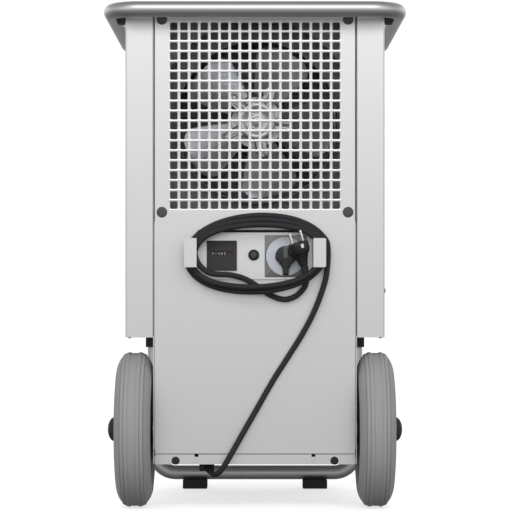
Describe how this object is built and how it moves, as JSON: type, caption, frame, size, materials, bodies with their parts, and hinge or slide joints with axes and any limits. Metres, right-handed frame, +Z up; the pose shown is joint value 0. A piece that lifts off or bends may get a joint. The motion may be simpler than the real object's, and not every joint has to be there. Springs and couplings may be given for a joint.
{
  "type": "dehumidifier",
  "caption": "Mobile commercial dehumidifier: sheet-metal casing on wheels, tube handle ring round the top, perforated outlet with fan, pull-out tank, wound mains cord.",
  "frame": {"origin": "on the floor, under the centre of the machine's bounding box, its loose cord left out", "axes": "+Z up; -Y towards the service side with the controls and the air outlet; +X to the right of someone facing that side"},
  "size_m": [0.485, 0.5724, 0.8085],
  "materials": {
    "sheet_steel": "satin, fine non-directional grain",
    "tube_steel": "ground and polished",
    "dark_steel": "satin",
    "black_steel": "semi-gloss",
    "black_plastic": "fine texture",
    "grey_plastic": "matte",
    "white_plastic": "matte",
    "black_rubber": "matte",
    "grey_tyre": "matte moulded",
    "cast_aluminium": "bright",
    "blade_aluminium": "mill finish",
    "fin_aluminium": "fins",
    "copper": "drawn copper tube",
    "brass": "machined",
    "tank_plastic": "satin",
    "float_plastic": "matte",
    "filter_fabric": "open foam",
    "meter_plastic": "fine texture",
    "dial_plastic": "gloss",
    "black_gloss": "gloss",
    "cord_rubber": "matte",
    "plug_rubber": "semi-gloss",
    "plated_pin": "nickel plated"
  },
  "bodies": {
    "machine": {"rear_panel": "sheet_steel", "rear_base_strip": "sheet_steel", "front_panel": "sheet_steel", "side_panel_left": "sheet_steel", "side_panel_right": "sheet_steel", "casing_left": "sheet_steel", "casing_right": "sheet_steel", "top_cover": "sheet_steel", "base_plate": "sheet_steel", "drip_tray": "sheet_steel", "handle_ring": "tube_steel", "ring_blocks": "black_plastic", "panel_caps": "grey_plastic", "casing_screws": "black_steel", "front_frame": "tube_steel", "frame_clamps": "black_plastic", "feet": "black_rubber", "axle": "tube_steel", "axle_brackets": "sheet_steel", "hub_cap_left": "black_plastic", "hub_cap_right": "black_plastic", "fan_shroud": "dark_steel", "fan_motor": "cast_aluminium", "motor_bracket": "black_steel", "evaporator": "fin_aluminium", "condenser": "fin_aluminium", "refrigerant_lines": "copper", "compressor": "black_steel", "compressor_mounts": "black_rubber", "filter_drier": "copper", "solenoid_valve": "brass", "electrical_box": "dark_steel", "run_capacitor": "cast_aluminium", "control_plate": "sheet_steel", "cord_hooks": "sheet_steel", "plate_gasket": "black_rubber", "hour_meter": "meter_plastic", "reset_housing": "black_plastic", "dial_scale": "dial_plastic", "cord_gland": "black_rubber", "cord_lead": "cord_rubber", "cord_winding": "cord_rubber", "cord_tail": "cord_rubber", "plug_body": "plug_rubber", "plug_pins": "plated_pin"},
    "wheel_left": {"tyre_left": "grey_tyre", "rim_left": "black_plastic", "bush_left": "white_plastic"},
    "wheel_right": {"tyre_right": "grey_tyre", "rim_right": "black_plastic", "bush_right": "white_plastic"},
    "fan": {"fan_spider": "cast_aluminium", "fan_blades": "blade_aluminium"},
    "tank": {"water_tank": "tank_plastic", "tank_handle": "black_plastic"},
    "float": {"tank_float": "float_plastic"},
    "filter": {"filter_frame": "black_plastic", "filter_mesh": "filter_fabric"},
    "knob": {"dial_knob": "black_gloss"},
    "button": {"reset_button": "grey_plastic"}
  },
  "joints": [
    {"name": "wheel_left_spin", "type": "hinge", "parent": "machine", "child": "wheel_left", "pos_m": [-0.1945, -0.16125, 0.125], "axis": [1, 0, 0], "continuous": true},
    {"name": "wheel_right_spin", "type": "hinge", "parent": "machine", "child": "wheel_right", "pos_m": [0.1945, -0.16125, 0.125], "axis": [1, 0, 0], "continuous": true},
    {"name": "fan_spin", "type": "hinge", "parent": "machine", "child": "fan", "pos_m": [0.003, -0.146, 0.625], "axis": [0, 1, 0], "continuous": true},
    {"name": "tank_slide", "type": "slide", "parent": "machine", "child": "tank", "axis": [0, 1, 0], "range_m": [0, 0.18]},
    {"name": "float_hinge", "type": "hinge", "parent": "tank", "child": "float", "pos_m": [0.102, 0.09075, 0.29], "axis": [1, 0, 0], "range_deg": [0, 35]},
    {"name": "filter_slide", "type": "slide", "parent": "machine", "child": "filter", "axis": [0, 0, 1], "range_m": [0, 0.32]},
    {"name": "dial_turn", "type": "hinge", "parent": "machine", "child": "knob", "pos_m": [0.049, -0.225, 0.405], "axis": [0, 1, 0], "range_deg": [0, 270]},
    {"name": "reset_press", "type": "slide", "parent": "machine", "child": "button", "axis": [0, 1, 0], "range_m": [0, 0.003], "stiffness_N_per_m": 400}
  ]
}
